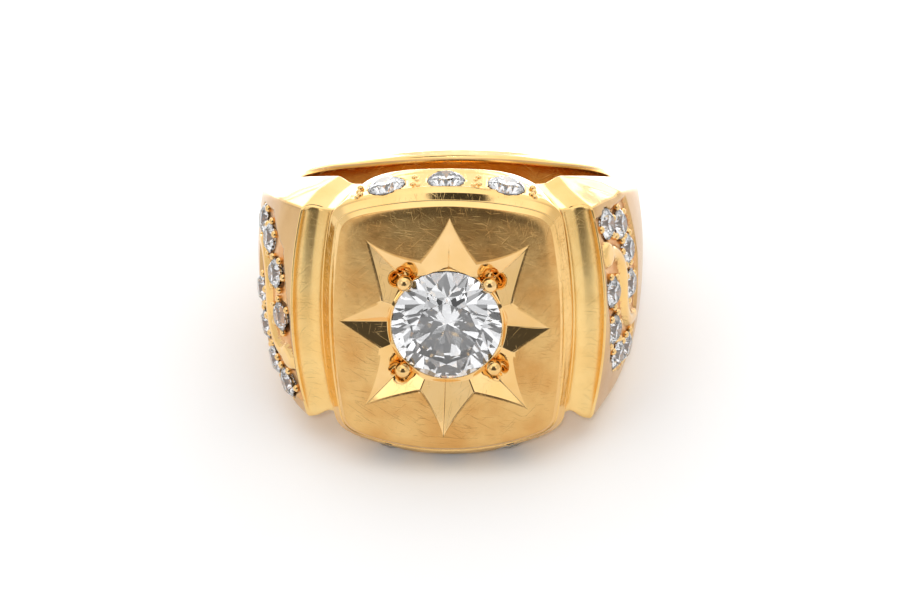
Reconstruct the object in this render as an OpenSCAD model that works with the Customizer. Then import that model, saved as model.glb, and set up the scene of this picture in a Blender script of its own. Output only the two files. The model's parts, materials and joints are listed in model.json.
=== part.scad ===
// Signet ring with an engraved star, a round centre stone and paved shoulders.
// The ring is drawn round its finger axis: the axis is Z, and the head faces -Y.
// At the end it is tipped until it lies on its side, on the lower wall of the head and the back of the band.

/* [Finger hole] */
// Inside diameter of the band
bore_d = 18.5; // [18.2:0.1:18.8]

/* [Band] */
// Widest measure across both sides
overall_w = 22.5; // [22.3:0.1:22.9]
// Wall at the back
back_wall = 1.55; // [1.4:0.05:1.7]
// Width along the finger at the back
back_w = 4.8; // [4.6:0.1:5.6]
// Half width of the band's inner edge where it is furthest left and right
side_half_w = 4.45; // [4.2:0.05:4.5]
// Slope in degrees at which the band widens towards the head
flare_angle = 18.5; // [17:0.5:18.5]
// Fall of the band's side faces for each millimetre outwards
side_fall = 0.4; // [0.3:0.05:0.45]
// Radius of the barrel-shaped shoulders, round the finger and along it
barrel_r = 24.4; // [23:0.2:27]

/* [Shoulders] */
// Distance of the flutes' outer ridges from the finger axis, towards the face
ridge_y = 10.9; // [10.7:0.1:11.1]
// Radius of each flute
flute_r = 1.15; // [1.1:0.05:1.2]
// Sideways place of each flute's centre
flute_x = 8.15; // [8.1:0.05:8.2]
// Forward place of each flute's centre
flute_y = 11.5; // [11.4:0.05:11.6]
// Half height of the shoulders where the flute meets the head
crease_z = 5.8; // [5.6:0.1:6]
// Rise of the ramp at each end of a flute, for each millimetre sideways
ramp_side = 0.26; // [0.2:0.02:0.3]
// Rise of that ramp for each millimetre towards the finger
ramp_back = 0.25; // [0.2:0.01:0.26]
// Depth of the paved field below the shoulder's surface
field_depth = 0.2; // [0.1:0.05:0.3]
// Width of the raised S ribbon
ribbon_w = 0.8; // [0.7:0.05:0.9]
// Diameter of a paving stone's seat
pave_seat_d = 1.8; // [1.6:0.05:1.85]
// Depth of a paving stone's seat
pave_seat_depth = 0.9; // [0.7:0.1:1.1]

/* [Head] */
// Width of the head across the finger
head_w = 14.3; // [14.1:0.1:14.5]
// Height of the head along the finger, at its rim
head_h = 16.2; // [16:0.1:16.4]
// Radius of the face, which is bowed round the finger
face_bow_r = 24; // [22:0.5:27]
// Radius of the bowed upper and lower edges
edge_bow_r = 17; // [16:0.5:18.5]
// Radius of the bowed sides
side_bow_r = 34; // [30:1:38]
// Radius that takes off the corners, round the middle of the face
corner_r = 9.2; // [9.1:0.05:9.3]
// Draft of the corners, which grow slimmer towards the finger
corner_taper = 0.22; // [0.15:0.01:0.25]
// Distance of the rim's lower edge from the finger axis, at its middle
wall_y = 12; // [11.9:0.1:12.1]
// Distance of the engraved face from the finger axis, at its middle
face_y = 13.3; // [13.2:0.05:13.4]
// Inset of the rim's bevel
rim_w = 0.75; // [0.6:0.05:0.85]
// Lean of the upper and lower walls, taller towards the finger
wall_lean = 0.09; // [0.05:0.01:0.1]

/* [Star] */
// Reach of the two rays across the finger
star_side = 6; // [5.85:0.05:6.1]
// Reach of the two rays along the finger
star_end = 6.65; // [6.5:0.05:6.75]
// Reach of the four rays at the corners
star_corner = 6.8; // [6.7:0.05:6.9]
// Radius at which neighbouring rays meet
star_inner = 4.1; // [4:0.05:4.3]
// Turn of the hand-cut star on the face, in degrees
star_turn = 2; // [0:0.1:2.5]
// Depth of the star's cut if it ran on to the middle
star_depth = 1.25; // [1.1:0.05:1.3]

/* [Stones] */
// Diameter of the centre stone
centre_d = 6.65; // [6.5:0.05:6.7]
// Depth of the centre stone's widest line below the face
centre_sink = 0.5; // [0.4:0.05:0.6]
// Diameter of a gallery stone
gallery_d = 2.15; // [2:0.05:2.2]
// Spacing of the gallery stones
gallery_pitch = 3.42; // [3.3:0.05:3.5]
// Distance of the gallery stones from the finger axis
gallery_y = 10.75; // [10.7:0.05:10.85]
// Depth of a gallery stone's widest line below the wall
gallery_sink = 0.12; // [0.1:0.01:0.2]
// Gap between a stone and its seat
stone_gap = 0.06; // [0.04:0.01:0.08]
// Diameter of the beads that hold the centre stone
bead_d = 0.84; // [0.8:0.02:0.9]
// Distance of the beads from the middle of the stone
bead_ring_r = 3.78; // [3.76:0.02:3.84]

/* [Hidden] */

bore_r = bore_d / 2;
half_w = overall_w / 2;
back_y = bore_r + back_wall;
// Middle of the outer half circle of the band, a little towards the head
band_y = back_y - half_w;
// Longer than the body, for cuts that pass right through
through = 40;

// Height of the beads' middles below the face
bead_sink = 0.3;
// Length of the stem that ties each bead to the body
bead_stem = 1;
// Width of the hole under a stone, as a share of its seat, and its depth
centre_open_share = 0.6;
centre_drill = 6;
gallery_open_share = 0.5;
gallery_drill = 1.5;
// How far the head's wall runs back past the front of the finger hole
wall_overlap = 2.6;
head_back = bore_r - wall_overlap;
// Inset of the rim's bevel for each millimetre towards the face
rim_slope = rim_w / (face_y - wall_y);
// The rim's upper edge is bowed both ways, so it is an arc in a plane that leans back
edge_tilt = atan(edge_bow_r / face_bow_r);
edge_r = edge_bow_r * cos(edge_tilt);
// Length of the cone of that edge before and behind it
rim_reach = 12;
// How far the side faces' cone runs inside the finger hole, and down
cone_inside = 1.5;
cone_reach = 20;
// How far the star's cut stands above the face
star_over = 0.5;
// Angle between neighbouring corners of the star
star_step = 22.5;
// Sides of the small seats and beads
small_fn = 32;

// Round brilliant cut, as shares of its radius and in degrees
table_share = 0.56;
girdle_share = 0.05;
crown_angle = 34.5;
pavilion_angle = 40.75;
star_share = 0.76;
lower_share = 0.22;

// Outline of the paved field on the right shoulder: distance along Y, height
field_outline = [
    [-10.35, 5.55], [-5.2, 5.1], [-4.2, 1.2], [-4.3, -4.4], [-7, -4.9], [-9.3, -3.4], [-10.3, 0.4]
];
// Middles of the paving stones on the right shoulder: distance along Y, height
pave_places = [
    [-8.75, 4.6], [-6.6, 4.15], [-5.6, 2.45], [-5.45, 0.35],
    [-9.1, 0.75], [-8.65, -1.55], [-7.25, -3.45], [-5.35, -3.7]
];
// Arcs of the ribbon: the upper one bends away from the head, the lower one towards the band
ribbon_upper = [-9.55, 0.9];
ribbon_upper_r = 2.25;
ribbon_lower = [-4.9, 0];
ribbon_leaf_r = 0.75;

// Wall height where the leaning wall meets the finger hole
wall_top = head_h / 2 + wall_lean * (wall_y - bore_r);
// The ring lies on that edge and on the back's edge
rest_tilt = atan((wall_top - back_w / 2) / (back_y + bore_r));
rest_lift = back_y * sin(rest_tilt) + back_w / 2 * cos(rest_tilt);
// Front and back of the lying ring
face_edge_z = head_h / 2 - rim_w;
rest_front = -face_y * cos(rest_tilt) - face_edge_z * sin(rest_tilt);
rest_back = back_y * cos(rest_tilt) + back_w / 2 * sin(rest_tilt);
rest_shift = -(rest_front + rest_back) / 2;

$fn = 96;

// Tips the ring over on to its side and puts the middle of its footprint at the origin
module at_rest() {
    translate([0, rest_shift, rest_lift])
    rotate([-rest_tilt, 0, 0])
    children();
}

// Draws a plane shape in the ring's side view and extrudes it towards +X
module from_the_side(length) {
    rotate([90, 0, 90])
    linear_extrude(height = length)
    children();
}

module both_ends() {
    children();
    mirror([0, 0, 1]) children();
}

// One shoulder block, bounded outwards by its barrel surface
module shoulder_block() {
    intersection() {
        translate([half_w - barrel_r, band_y, 0]) rotate([0, 90, 0]) sphere(r = barrel_r);
        translate([0, -ridge_y, -through / 4]) cube([through / 2, ridge_y + band_y, through / 2]);
    }
}

module back_block() {
    intersection() {
        translate([0, band_y, 0]) cylinder(r = half_w, h = through / 2, center = true);
        rotate([90, 0, 0])
        linear_extrude(height = through, center = true)
        intersection() {
            translate([half_w - barrel_r, 0]) circle(r = barrel_r);
            translate([barrel_r - half_w, 0]) circle(r = barrel_r);
        }
        translate([-through / 2, band_y, -through / 4]) cube([through, through / 2, through / 2]);
    }
}

// Everything below the cone that shapes the band's side faces
module under_side_cone() {
    translate([0, 0, side_half_w])
    rotate([-flare_angle, 0, 0])
    translate([0, 0, -cone_reach])
    cylinder(
        h = cone_reach + cone_inside * side_fall,
        r1 = bore_r + cone_reach / side_fall,
        r2 = bore_r - cone_inside
    );
}

module band_slab() {
    cube([through, through, back_w], center = true);
}

// Band and shoulders, before the finger hole and the cuts
module band() {
    intersection() {
        union() {
            shoulder_block();
            mirror([1, 0, 0]) shoulder_block();
            back_block();
        }
        union() {
            intersection() {
                under_side_cone();
                mirror([0, 0, 1]) under_side_cone();
            }
            band_slab();
        }
    }
}

module flutes() {
    for (side = [-1, 1])
        translate([side * flute_x, -flute_y, 0])
        cylinder(r = flute_r, h = through, center = true);
}

// Ramps from the ends of the flutes up to the finger hole, cut off the shoulders beside the head
module ramps() {
    up = [-ramp_side, -ramp_back, 1] / norm([ramp_side, ramp_back, 1]);
    both_ends()
    for (side = [0, 1])
        mirror([side, 0, 0])
        intersection() {
            translate([0, -through / 2, 0]) cube(through / 2);
            translate([head_w / 2, -ridge_y, crease_z])
            rotate([0, acos(up.z), atan2(up.y, up.x)])
            translate([0, 0, through / 4])
            cube([through, through, through / 2], center = true);
        }
}

module ring_sector(r, w, a0, a1) {
    reach = 2 * r;
    intersection() {
        difference() {
            circle(r = r + w / 2);
            circle(r = r - w / 2);
        }
        polygon([[0, 0], for (a = [a0, (a0 + a1) / 2, a1]) reach * [cos(a), sin(a)]]);
    }
}

// The ribbon starts as a leaf by the ridge, runs down between the stones and sweeps back to the band
module ribbon_outline() {
    lower_r = ribbon_lower.x - ribbon_upper.x - ribbon_upper_r;
    translate(ribbon_upper) ring_sector(ribbon_upper_r, ribbon_w, 0, 92);
    translate(ribbon_lower) ring_sector(lower_r, ribbon_w, 180, 275);
    translate([ribbon_upper.x + ribbon_upper_r - ribbon_w / 2, ribbon_lower.y])
    square([ribbon_w, ribbon_upper.y - ribbon_lower.y]);
    translate(ribbon_upper + [0, ribbon_upper_r]) circle(r = ribbon_leaf_r);
}

// What is cut away round the ribbon on the right shoulder
module field_cut() {
    difference() {
        from_the_side(half_w + 1) polygon(field_outline);
        translate([half_w - barrel_r, band_y, 0])
        rotate([0, 90, 0])
        sphere(r = barrel_r - field_depth);
        from_the_side(half_w + 1) ribbon_outline();
    }
}

// Distance of the right shoulder's barrel surface from the finger axis, sideways
function barrel_x(p) =
    half_w - barrel_r + sqrt(pow(barrel_r, 2) - pow(p.x - band_y, 2) - pow(p.y, 2));

// Blind seats for the paving stones, square to the barrel surface
module pave_seats() {
    for (p = pave_places) {
        out = [barrel_x(p) - half_w + barrel_r, p.x - band_y, p.y] / barrel_r;
        translate([barrel_x(p), p.x, p.y])
        rotate([0, acos(out.z), atan2(out.y, out.x)])
        translate([0, 0, -pave_seat_depth])
        cylinder(d = pave_seat_d, h = 2 * pave_seat_depth, $fn = small_fn);
    }
}

// The left shoulder is the right one turned half a turn about the middle of the face
module both_shoulders() {
    children();
    rotate([0, 180, 0]) children();
}

// Depth of the bowed face below its middle, at a distance sideways
function bow(x) = face_bow_r - sqrt(pow(face_bow_r, 2) - pow(x, 2));

// Everything inside the upper wall, which leans out towards the finger
module upper_wall() {
    translate([0, -face_y, head_h / 2 - edge_bow_r])
    rotate([-90, 0, 0])
    cylinder(
        h = face_y - head_back,
        r1 = edge_bow_r - wall_lean * (face_y - wall_y),
        r2 = edge_bow_r + wall_lean * (wall_y - head_back)
    );
}

// Everything inside the bevel of the rim's upper edge
module upper_rim() {
    grow = rim_reach * tan(edge_tilt - atan(rim_slope));
    translate([0, -wall_y, head_h / 2])
    rotate([90 + edge_tilt, 0, 0])
    translate([0, -edge_r, 0])
    cylinder(h = 2 * rim_reach, r1 = edge_r - grow, r2 = edge_r + grow, center = true);
}

// A disc as deep as the head, bevelled like the rim from where its edge meets the bowed side
module side_disc(r, edge_x, taper = 0) {
    level = wall_y - bow(edge_x);
    rotate([90, 0, 0])
    rotate_extrude()
    polygon([
        [0, head_back], [r - taper * (level - head_back), head_back], [r, level],
        [r - rim_slope * (face_y - level), face_y], [0, face_y]
    ]);
}

module head() {
    intersection() {
        upper_wall();
        mirror([0, 0, 1]) upper_wall();
        upper_rim();
        mirror([0, 0, 1]) upper_rim();
        translate([head_w / 2 - side_bow_r, 0, 0]) side_disc(side_bow_r, head_w / 2);
        translate([side_bow_r - head_w / 2, 0, 0]) side_disc(side_bow_r, head_w / 2);
        side_disc(corner_r, corner_r * cos(45), corner_taper);
        translate([0, face_bow_r - face_y, 0]) cylinder(r = face_bow_r, h = through, center = true);
    }
}

function ray_reach(k) =
    k % 2 == 1 ? star_inner
    : k % 4 == 2 ? star_corner
    : k % 8 == 0 ? star_side
    : star_end;

// Corner of the star at step k of 16, on the bowed face
function star_corner_at(k) =
    let (a = star_step * k - star_turn, x = ray_reach(k) * cos(a))
    [x, bow(x) - face_y, ray_reach(k) * sin(a)];

// The star is cut by sixteen facets that meet behind the stone
module star_cut() {
    deep = [0, star_depth - face_y, 0];
    points = [
        for (k = [0:15]) deep + (1 + star_over / star_depth) * (star_corner_at(k) - deep),
        deep,
        [0, -face_y - 2 * star_over, 0]
    ];
    faces = [
        for (k = [0:15]) [k, (k + 1) % 16, 16],
        for (k = [0:15]) [(k + 1) % 16, k, 17]
    ];
    polyhedron(points, faces);
}

// Seat of a round stone whose widest line is at z = 0, open above and below
module seat(d, open_share, below) {
    r = d / 2 + stone_gap;
    open_r = open_share * r;
    ledge_z = -girdle_share * d / 4 - stone_gap;
    rotate_extrude()
    polygon([
        [0, d], [r, d], [r, ledge_z],
        [open_r, ledge_z - (r - open_r) * tan(pavilion_angle)],
        [open_r, -below], [0, -below]
    ]);
}

// Moves from the stone's own frame, with its table up, to its place in the face
module centre_place() {
    translate([0, centre_sink - face_y, 0]) rotate([90, 0, 0]) children();
}

// Places 1 to 3 run from left to right along the upper wall
module gallery_place(k) {
    x = (k - 2) * gallery_pitch;
    top = head_h / 2 + wall_lean * (wall_y - gallery_y);
    turn = asin(x / edge_bow_r);
    lean = atan(wall_lean);
    translate([0, -gallery_y, top - edge_bow_r])
    rotate([0, turn, 0])
    translate([0, 0, edge_bow_r])
    rotate([lean, 0, 0])
    translate([0, 0, -gallery_sink])
    children();
}

module centre_seat() {
    centre_place() seat(centre_d, centre_open_share, centre_drill);
}

module gallery_seats() {
    both_ends()
    for (k = [1:3]) gallery_place(k) seat(gallery_d, gallery_open_share, gallery_drill);
}

module beads() {
    for (a = [45:90:315])
        rotate([0, a, 0])
        translate([bead_ring_r, bead_sink - face_y, 0]) {
            rotate([0, 90, 0]) sphere(d = bead_d, $fn = small_fn);
            rotate([-90, 0, 0]) cylinder(d = 0.8 * bead_d, h = bead_stem, $fn = small_fn);
        }
}

module shoulders_and_band() {
    difference() {
        band();
        flutes();
        ramps();
        both_shoulders() field_cut();
        both_shoulders() pave_seats();
    }
}

module ring_body() {
    color("goldenrod")
    difference() {
        union() {
            difference() {
                union() {
                    shoulders_and_band();
                    head();
                }
                star_cut();
                centre_seat();
                gallery_seats();
            }
            beads();
        }
        cylinder(r = bore_r, h = through, center = true);
    }
}

// A corner of the brilliant, at step k of 32 round it
function at(r, k, z) = [r * cos(11.25 * k), r * sin(11.25 * k), z];
// Height at which a corner at step k lies in the plane through a, b and c
function height_in(a, b, c, r, k) =
    let (n = cross(b - a, c - a), q = at(r, k, a.z) - a)
    a.z - (n.x * q.x + n.y * q.y) / n.z;

// Round brilliant with its widest line at z = 0 and its table up
module brilliant(d) {
    r = d / 2;
    half_girdle = girdle_share * r / 2;
    table_r = table_share * r;
    crown_fall = tan(crown_angle);
    pavilion_fall = tan(pavilion_angle);
    table_z = half_girdle + (r - table_r) * crown_fall;
    culet_z = -half_girdle - r * pavilion_fall;
    kite_r = star_share * r;
    kite_z = half_girdle + (r - kite_r * cos(22.5)) * crown_fall;
    lower_r = lower_share * r;
    lower_z = -half_girdle - (r - lower_r * cos(22.5)) * pavilion_fall;
    // Between its fixed corners the girdle dips into the planes of the facets above and below it
    upper_dip = height_in(at(kite_r, 2, kite_z), at(r, 0, half_girdle), at(r, 2, half_girdle), r, 1);
    lower_dip = height_in(at(lower_r, 2, lower_z), at(r, 0, -half_girdle), at(r, 2, -half_girdle), r, 1);
    // Corners in rings: table, kites, girdle above, girdle below, lower halves, point
    points = [
        for (k = [0:7]) at(table_r, 4 * k, table_z),
        for (k = [0:7]) at(kite_r, 4 * k + 2, kite_z),
        for (k = [0:31]) at(r, k, k % 2 == 0 ? half_girdle : upper_dip),
        for (k = [0:31]) at(r, k, k % 2 == 0 ? -half_girdle : lower_dip),
        for (k = [0:7]) at(lower_r, 4 * k + 2, lower_z),
        [0, 0, culet_z]
    ];
    kite = 8;
    upper = 16;
    lower = 48;
    half = 80;
    point = 88;
    faces = [
        [for (k = [7:-1:0]) k],
        for (k = [0:7]) [k, (k + 1) % 8, kite + k],
        for (k = [0:7]) [k, kite + k, upper + 4 * k],
        for (k = [0:7]) [k, upper + 4 * k, kite + (k + 7) % 8],
        for (k = [0:7]) [kite + k, upper + 4 * k + 2, upper + 4 * k + 1, upper + 4 * k],
        for (k = [0:7]) [kite + k, upper + (4 * k + 4) % 32, upper + 4 * k + 3, upper + 4 * k + 2],
        for (k = [0:31]) let (n = (k + 1) % 32) [upper + k, upper + n, lower + n, lower + k],
        for (k = [0:7]) [lower + 4 * k, lower + 4 * k + 1, lower + 4 * k + 2, half + k],
        for (k = [0:7]) [lower + 4 * k + 2, lower + 4 * k + 3, lower + (4 * k + 4) % 32, half + k],
        for (k = [0:7]) [lower + 4 * k, half + k, point],
        for (k = [0:7]) [lower + 4 * k, point, half + (k + 7) % 8]
    ];
    polyhedron(points, faces);
}

module centre_stone() {
    color("white")
    centre_place() brilliant(centre_d);
}

module gallery_stone(k) {
    color("white")
    gallery_place(k) brilliant(gallery_d);
}

at_rest() ring_body();
at_rest() centre_stone();
for (k = [1:3]) {
    at_rest() gallery_stone(k);
    at_rest() mirror([0, 0, 1]) gallery_stone(k);
}
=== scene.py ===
import json
import math

import bmesh
import bpy
from mathutils import Matrix, Vector


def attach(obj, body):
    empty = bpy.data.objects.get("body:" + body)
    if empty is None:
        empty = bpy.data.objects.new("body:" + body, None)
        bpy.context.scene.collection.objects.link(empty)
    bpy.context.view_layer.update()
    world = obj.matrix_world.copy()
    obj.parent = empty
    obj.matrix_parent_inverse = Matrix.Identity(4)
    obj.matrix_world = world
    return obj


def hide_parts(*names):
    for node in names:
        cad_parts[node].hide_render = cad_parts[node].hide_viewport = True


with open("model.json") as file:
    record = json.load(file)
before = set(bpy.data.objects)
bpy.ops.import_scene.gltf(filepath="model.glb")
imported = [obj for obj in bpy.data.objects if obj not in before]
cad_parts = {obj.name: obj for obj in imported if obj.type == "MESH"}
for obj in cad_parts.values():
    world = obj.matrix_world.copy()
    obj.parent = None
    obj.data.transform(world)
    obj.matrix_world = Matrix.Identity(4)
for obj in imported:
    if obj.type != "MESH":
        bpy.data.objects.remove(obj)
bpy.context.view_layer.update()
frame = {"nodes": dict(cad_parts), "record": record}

# Measures are millimetres in the ring's own frame: the finger axis is Z and the face looks towards -Y.
BORE_R = 9.25
BACK_R = 11.25
BAND_Y = -0.45
BARREL_R = 24.4
BARREL_X = BACK_R - BARREL_R
FACE_Y = 13.3
FACE_BOW_R = 24.0
FACE_DOME_R = 90.0
HEAD_BACK = 6.65
# Head and band overlap in the finger hole, and there one of the two surfaces lies this much deeper
BORE_STEP = 0.05
# Points nearer to each other than this are one point
WELD = 0.0004
# Steps of a search that halves its range
HALVINGS = 26

# The ring lies on its side, as the record's finger hole says
bore = frame["record"]["mounts"][0]
bore_axis = Vector(bore["axis"])
rest_tilt = math.atan2(bore_axis.y, bore_axis.z)
lying = (
    Matrix.Translation(bore["pos_m"])
    @ Matrix.Rotation(-rest_tilt, 4, "X")
    @ Matrix.Scale(0.001, 4)
)


def mix(a, b, share):
    return a + (b - a) * share


def soft_step(low, high, value):
    share = min(max((value - low) / (high - low), 0.0), 1.0)
    return share * share * (3.0 - 2.0 * share)


def soft_max(a, b, width):
    over = max(width - abs(a - b), 0.0) / width
    return max(a, b) + over * over * width / 4.0


def crossing(measure, low, high):
    """The value between low and high at which a measure rises through zero."""
    for _ in range(HALVINGS):
        middle = (low + high) / 2.0
        if measure(middle) < 0.0:
            low = middle
        else:
            high = middle
    return (low + high) / 2.0


# Materials

# Hair scratches: the direction of each set in radians, and the length of its cells in metres
HAIRS = ((0.5, 0.0016), (-0.75, 0.0022), (1.35, 0.0013), (-1.3, 0.0018), (0.05, 0.0012))
HAIR_THINNESS = 26.0
# Depth of the finest wear, in metres
WEAR_DEPTH = 0.00002


def shade(node, label, values):
    """Sets a node's label and its inputs."""
    for socket, value in values.items():
        node.inputs[socket].default_value = value
    node.label = label
    return node


def math_node(nodes, operation):
    made = nodes.new("ShaderNodeMath")
    made.operation = operation
    return made


def new_group(name, inputs, outputs):
    """A shader node group with float or colour sockets, and its input and output nodes."""
    group = bpy.data.node_groups.new(name, "ShaderNodeTree")
    for socket, kind, value in inputs:
        made = group.interface.new_socket(name=socket, in_out="INPUT", socket_type=kind)
        made.default_value = value
    for socket, kind in outputs:
        group.interface.new_socket(name=socket, in_out="OUTPUT", socket_type=kind)
    return group, group.nodes.new("NodeGroupInput"), group.nodes.new("NodeGroupOutput")


def worn_gold_group():
    """Colour, roughness and height of worn gold: clouds, smears and fine hair scratches."""
    group, given, out = new_group(
        "worn_gold",
        [
            ("Warm", "NodeSocketColor", (0.9, 0.5, 0.2, 1.0)),
            ("Pale", "NodeSocketColor", (0.95, 0.7, 0.35, 1.0)),
            ("Cloud Scale", "NodeSocketFloat", 300.0),
            ("Roughness", "NodeSocketFloat", 0.1),
            ("Roughness Spread", "NodeSocketFloat", 0.1),
            ("Scratches", "NodeSocketFloat", 0.5),
        ],
        [("Color", "NodeSocketColor"), ("Roughness", "NodeSocketFloat"), ("Height", "NodeSocketFloat")],
    )
    nodes, link = group.nodes, group.links.new
    place = nodes.new("ShaderNodeTexCoord")
    cloud = shade(nodes.new("ShaderNodeTexNoise"), "clouds", {"Detail": 4.0, "Roughness": 0.55})
    link(place.outputs["Object"], cloud.inputs["Vector"])
    link(given.outputs["Cloud Scale"], cloud.inputs["Scale"])
    mottle = nodes.new("ShaderNodeMapRange")
    shade(mottle, "mottle", {"From Min": 0.36, "From Max": 0.64, "To Min": 0.0, "To Max": 1.0})
    link(cloud.outputs["Fac"], mottle.inputs["Value"])
    tint = nodes.new("ShaderNodeMix")
    tint.data_type = "RGBA"
    link(mottle.outputs["Result"], tint.inputs[0])
    link(given.outputs["Warm"], tint.inputs[6])
    link(given.outputs["Pale"], tint.inputs[7])
    link(tint.outputs[2], out.inputs["Color"])
    smear = shade(nodes.new("ShaderNodeTexNoise"), "smears", {"Scale": 1300.0, "Detail": 6.0})
    link(place.outputs["Object"], smear.inputs["Vector"])
    spread = math_node(nodes, "MULTIPLY_ADD")
    link(smear.outputs["Fac"], spread.inputs[0])
    link(given.outputs["Roughness Spread"], spread.inputs[1])
    link(given.outputs["Roughness"], spread.inputs[2])
    link(spread.outputs[0], out.inputs["Roughness"])
    hairs = None
    for turn, length in HAIRS:
        # long thin cells: each that is light enough is one hair scratch
        aim = nodes.new("ShaderNodeMapping")
        aim.vector_type = "TEXTURE"
        aim.inputs["Rotation"].default_value = (0.0, turn, 0.0)
        aim.inputs["Scale"].default_value = (length, length, length / HAIR_THINNESS)
        link(place.outputs["Object"], aim.inputs["Vector"])
        streak = shade(nodes.new("ShaderNodeTexNoise"), "hairs", {"Scale": 1.0, "Detail": 1.0})
        link(aim.outputs["Vector"], streak.inputs["Vector"])
        narrow = nodes.new("ShaderNodeMapRange")
        shade(narrow, "thin hairs", {"From Min": 0.69, "From Max": 0.74, "To Min": 0.0, "To Max": 1.0})
        link(streak.outputs["Fac"], narrow.inputs["Value"])
        if hairs is None:
            hairs = narrow.outputs["Result"]
        else:
            both = math_node(nodes, "MAXIMUM")
            link(hairs, both.inputs[0])
            link(narrow.outputs["Result"], both.inputs[1])
            hairs = both.outputs[0]
    cut = math_node(nodes, "MULTIPLY")
    link(hairs, cut.inputs[0])
    link(given.outputs["Scratches"], cut.inputs[1])
    lower = math_node(nodes, "SUBTRACT")
    link(smear.outputs["Fac"], lower.inputs[0])
    link(cut.outputs[0], lower.inputs[1])
    link(lower.outputs[0], out.inputs["Height"])
    return group


WORN_GOLD = worn_gold_group()


def gold(name, warm, pale, cloud, rough, spread, scratches, bump):
    """Worn gold between a warm and a pale colour; cloud is the scale of its noise."""
    made = bpy.data.materials.new(name)
    made.use_nodes = True
    nodes, link = made.node_tree.nodes, made.node_tree.links.new
    skin = nodes["Principled BSDF"]
    skin.inputs["Metallic"].default_value = 1.0
    worn = nodes.new("ShaderNodeGroup")
    worn.node_tree = WORN_GOLD
    shade(worn, "worn gold", {
        "Warm": (*warm, 1.0), "Pale": (*pale, 1.0), "Cloud Scale": cloud,
        "Roughness": rough, "Roughness Spread": spread, "Scratches": scratches,
    })
    link(worn.outputs["Color"], skin.inputs["Base Color"])
    link(worn.outputs["Roughness"], skin.inputs["Roughness"])
    relief = nodes.new("ShaderNodeBump")
    relief.inputs["Strength"].default_value = bump
    relief.inputs["Distance"].default_value = WEAR_DEPTH
    link(worn.outputs["Height"], relief.inputs["Height"])
    link(relief.outputs["Normal"], skin.inputs["Normal"])
    return made


def plain(name, values):
    """A material of one plain surface."""
    made = bpy.data.materials.new(name)
    made.use_nodes = True
    shade(made.node_tree.nodes["Principled BSDF"], name, values)
    return made


polished_gold = gold(
    "polished_gold", (0.87, 0.54, 0.19), (0.94, 0.64, 0.27), 260.0, 0.05, 0.08, 0.4, 0.25
)
satin_gold = gold(
    "satin_gold", (0.67, 0.355, 0.11), (0.78, 0.49, 0.185), 420.0, 0.17, 0.13, 0.35, 0.5
)
flute_gold = gold(
    "flute_gold", (0.88, 0.56, 0.2), (0.95, 0.67, 0.28), 300.0, 0.18, 0.1, 0.4, 0.3
)
shoulder_gold = gold(
    "shoulder_gold", (0.6, 0.345, 0.13), (0.68, 0.43, 0.185), 300.0, 0.16, 0.12, 0.4, 0.3
)
cut_gold = gold(
    "cut_gold", (0.88, 0.555, 0.21), (0.93, 0.63, 0.29), 300.0, 0.03, 0.05, 0.3, 0.15
)
pitted_gold = gold(
    "pitted_gold", (0.7, 0.34, 0.12), (0.85, 0.52, 0.24), 900.0, 0.22, 0.2, 0.2, 0.9
)
# Gold of the finger hole: darker and deeper orange than the other golds, painting in the shade and the warm
# inter-reflected light inside the hole; its heavier hair scratches are wear
bore_gold_painted_shade = gold(
    "bore_gold_painted_shade", (0.64, 0.3, 0.055), (0.78, 0.43, 0.11), 200.0, 0.12, 0.1, 0.6, 0.3
)
clear_stone = plain("clear_stone", {
    "Base Color": (0.98, 0.985, 1.0, 1.0), "Roughness": 0.0, "IOR": 2.42, "Transmission Weight": 1.0,
})
pale_floor = plain("pale_floor", {"Base Color": (0.95, 0.95, 0.95, 1.0), "Roughness": 0.8})

HEAD_GOLDS = (polished_gold, satin_gold, cut_gold, bore_gold_painted_shade)
BAND_GOLDS = (polished_gold, pitted_gold, bore_gold_painted_shade, shoulder_gold, flute_gold)


# Mesh helpers

def grid_of(columns, rows, place):
    """A sheet of columns by rows cells whose corner (i, j) is moved to place(i, j)."""
    bm = bmesh.new()
    bmesh.ops.create_grid(bm, x_segments=columns, y_segments=rows, size=1.0)
    for corner in bm.verts:
        i = round((corner.co.x + 1.0) / 2.0 * columns)
        j = round((corner.co.y + 1.0) / 2.0 * rows)
        corner.co = place(i, j)
    return bm


def new_object(bm, name, materials):
    mesh = bpy.data.meshes.new(name)
    bm.to_mesh(mesh)
    bm.free()
    made = bpy.data.objects.new(name, mesh)
    bpy.context.scene.collection.objects.link(made)
    for material in materials:
        mesh.materials.append(material)
    return made


def finish_piece(bm, name, materials, smooth=True):
    """Welds seams, turns the faces outwards, lays the piece down with the ring and makes its object."""
    bmesh.ops.remove_doubles(bm, verts=bm.verts, dist=WELD)
    bmesh.ops.recalc_face_normals(bm, faces=bm.faces)
    bmesh.ops.transform(bm, matrix=lying, verts=bm.verts)
    for face in bm.faces:
        face.smooth = smooth
    piece = new_object(bm, name, materials)
    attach(piece, "root")
    return piece


# Head: a direction is a turn about the face's middle, from +X towards +Z

# Each ray of the star: its direction in degrees, its reach, and how hollow its two edges are
RAYS = (
    (-1.7, 5.83, 0.08, 0.06), (46.2, 6.8, 0.12, 0.26), (87.7, 6.64, 0.2, 0.2), (130.7, 6.85, 0.3, 0.1),
    (177.8, 6.11, 0.06, 0.08), (225.5, 6.8, 0.3, 0.2), (267.6, 6.69, 0.2, 0.2), (311.9, 6.77, 0.2, 0.3),
)
# Corners where neighbouring rays meet: direction in degrees and distance from the middle
VALLEYS = (
    (21.4, 3.9), (65.9, 4.27), (109.3, 4.23), (156.0, 3.9),
    (197.8, 3.9), (247.4, 4.02), (291.5, 4.15), (338.8, 3.98),
)
# The graver's line runs down the middle of the upper and the lower ray
GROOVED_RAYS = (2, 6)
GROOVE_DEPTH = 0.035
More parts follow.
